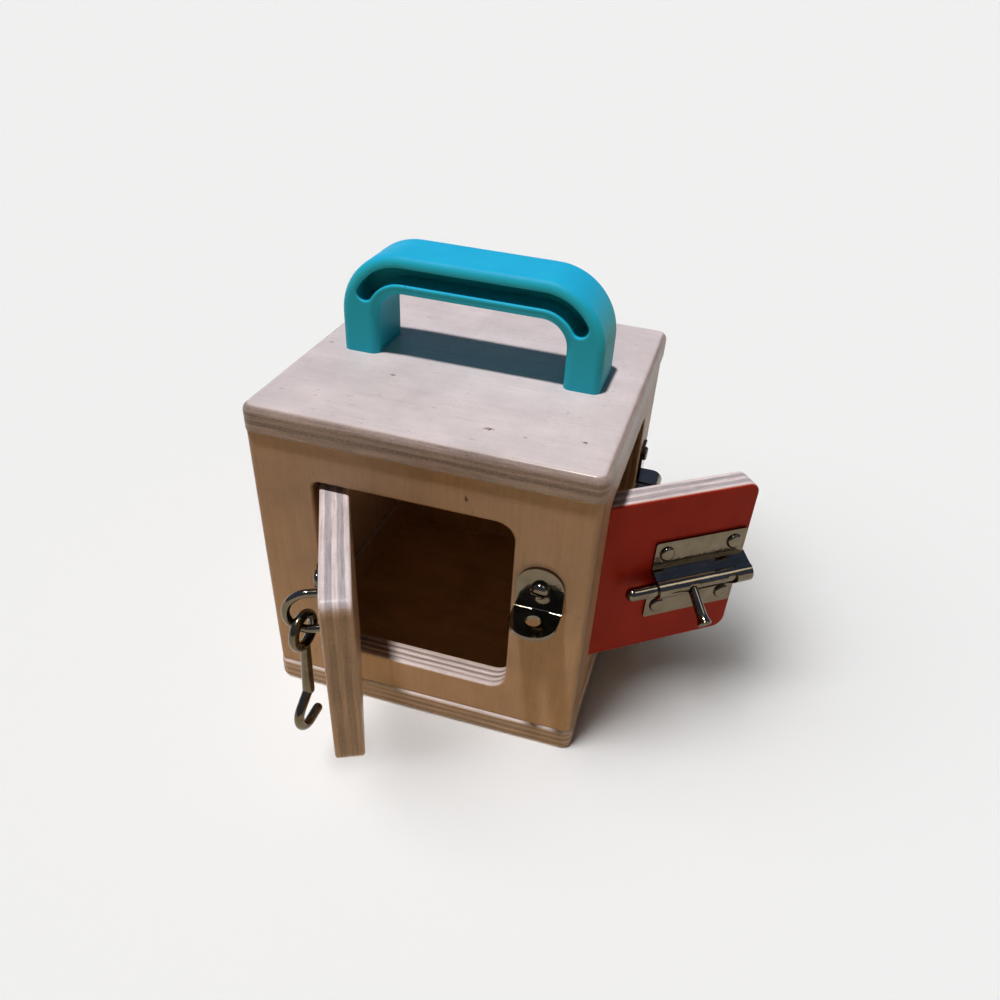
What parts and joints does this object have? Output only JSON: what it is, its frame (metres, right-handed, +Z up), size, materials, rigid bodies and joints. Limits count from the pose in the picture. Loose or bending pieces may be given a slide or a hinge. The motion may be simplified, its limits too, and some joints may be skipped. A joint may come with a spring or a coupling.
{
  "type": "wooden lock box",
  "caption": "Plywood play box with a door in each wall, each door held by a different latch, and a moulded carry handle on top.",
  "frame": {"origin": "middle of the base panel's underside", "axes": "+X to the right seen from the front, +Y to the back, +Z up"},
  "size_m": [0.2216, 0.2218, 0.1955],
  "materials": {
    "birch_plywood": "thin matt varnish, layered edges",
    "red_painted_plywood": "satin red paint on the outer face",
    "blue_plastic": "satin moulded plastic",
    "nickel_plate": "bright nickel plate",
    "plain_steel": "plain drawn steel",
    "white_nylon": "plain nylon"
  },
  "bodies": {
    "carcass": {"base_panel": "birch_plywood", "top_panel": "birch_plywood", "front_panel": "birch_plywood", "right_panel": "birch_plywood", "back_panel": "birch_plywood", "left_panel": "birch_plywood", "carry_handle": "blue_plastic", "handle_screws": "plain_steel", "front_door_pins": "plain_steel", "right_door_pins": "plain_steel", "back_door_pins": "plain_steel", "left_door_pins": "plain_steel", "pivot_washers": "white_nylon", "hook_catch": "nickel_plate", "hook_catch_screw": "nickel_plate", "bolt_keeper": "nickel_plate", "keeper_screws": "nickel_plate", "button_washer": "nickel_plate", "turn_button_screw": "nickel_plate", "knob_plate": "nickel_plate", "knob_plate_screws": "nickel_plate"},
    "front_door": {"front_door": "birch_plywood", "staple_plate": "nickel_plate", "hook_staple": "nickel_plate", "staple_screws": "nickel_plate"},
    "hook": {"cabin_hook": "nickel_plate"},
    "right_door": {"right_door": "red_painted_plywood", "bolt_plate": "nickel_plate", "bolt_plate_screws": "nickel_plate"},
    "bolt": {"bolt_rod": "nickel_plate", "bolt_knob": "nickel_plate"},
    "left_door": {"left_door": "birch_plywood"},
    "button": {"turn_button": "nickel_plate"},
    "back_door": {"back_door": "birch_plywood", "hasp_plate": "nickel_plate", "hasp_screws": "nickel_plate", "hasp_pin": "nickel_plate"},
    "hasp": {"hasp_strap": "nickel_plate"},
    "knob": {"turn_knob": "nickel_plate"}
  },
  "joints": [
    {"name": "front_door_swing", "type": "hinge", "parent": "carcass", "child": "front_door", "pos_m": [-0.03945, -0.068, 0.0755], "axis": [0, 0, 1], "range_deg": [-31.4, 63.6]},
    {"name": "hook_swing", "type": "hinge", "parent": "front_door", "child": "hook", "pos_m": [-0.03466, -0.11251, 0.07679], "axis": [-0.9514, -0.1918, 0.2407], "range_deg": [0, 96.1]},
    {"name": "right_door_swing", "type": "hinge", "parent": "carcass", "child": "right_door", "pos_m": [0.068, -0.03945, 0.0755], "axis": [0, 0, 1], "range_deg": [-42.3, 52.7]},
    {"name": "bolt_slide", "type": "slide", "parent": "right_door", "child": "bolt", "axis": [0.7955, 0.606, 0], "range_m": [0, 0.02]},
    {"name": "left_door_swing", "type": "hinge", "parent": "carcass", "child": "left_door", "pos_m": [-0.068, 0.03945, 0.0755], "axis": [0, 0, 1], "range_deg": [-95, 0]},
    {"name": "button_turn", "type": "hinge", "parent": "carcass", "child": "button", "pos_m": [-0.074, -0.0485, 0.0755], "axis": [-1, 0, 0], "range_deg": [-90, 90]},
    {"name": "back_door_swing", "type": "hinge", "parent": "carcass", "child": "back_door", "pos_m": [0.03945, 0.068, 0.0755], "axis": [0, 0, 1], "range_deg": [-95, 0]},
    {"name": "hasp_swing", "type": "hinge", "parent": "back_door", "child": "hasp", "pos_m": [-0.03585, 0.07675, 0.0755], "axis": [0, 0, 1], "range_deg": [-140, 0]},
    {"name": "knob_turn", "type": "hinge", "parent": "carcass", "child": "knob", "pos_m": [-0.05535, 0.074, 0.0755], "axis": [0, 1, 0], "range_deg": [0, 90]}
  ]
}
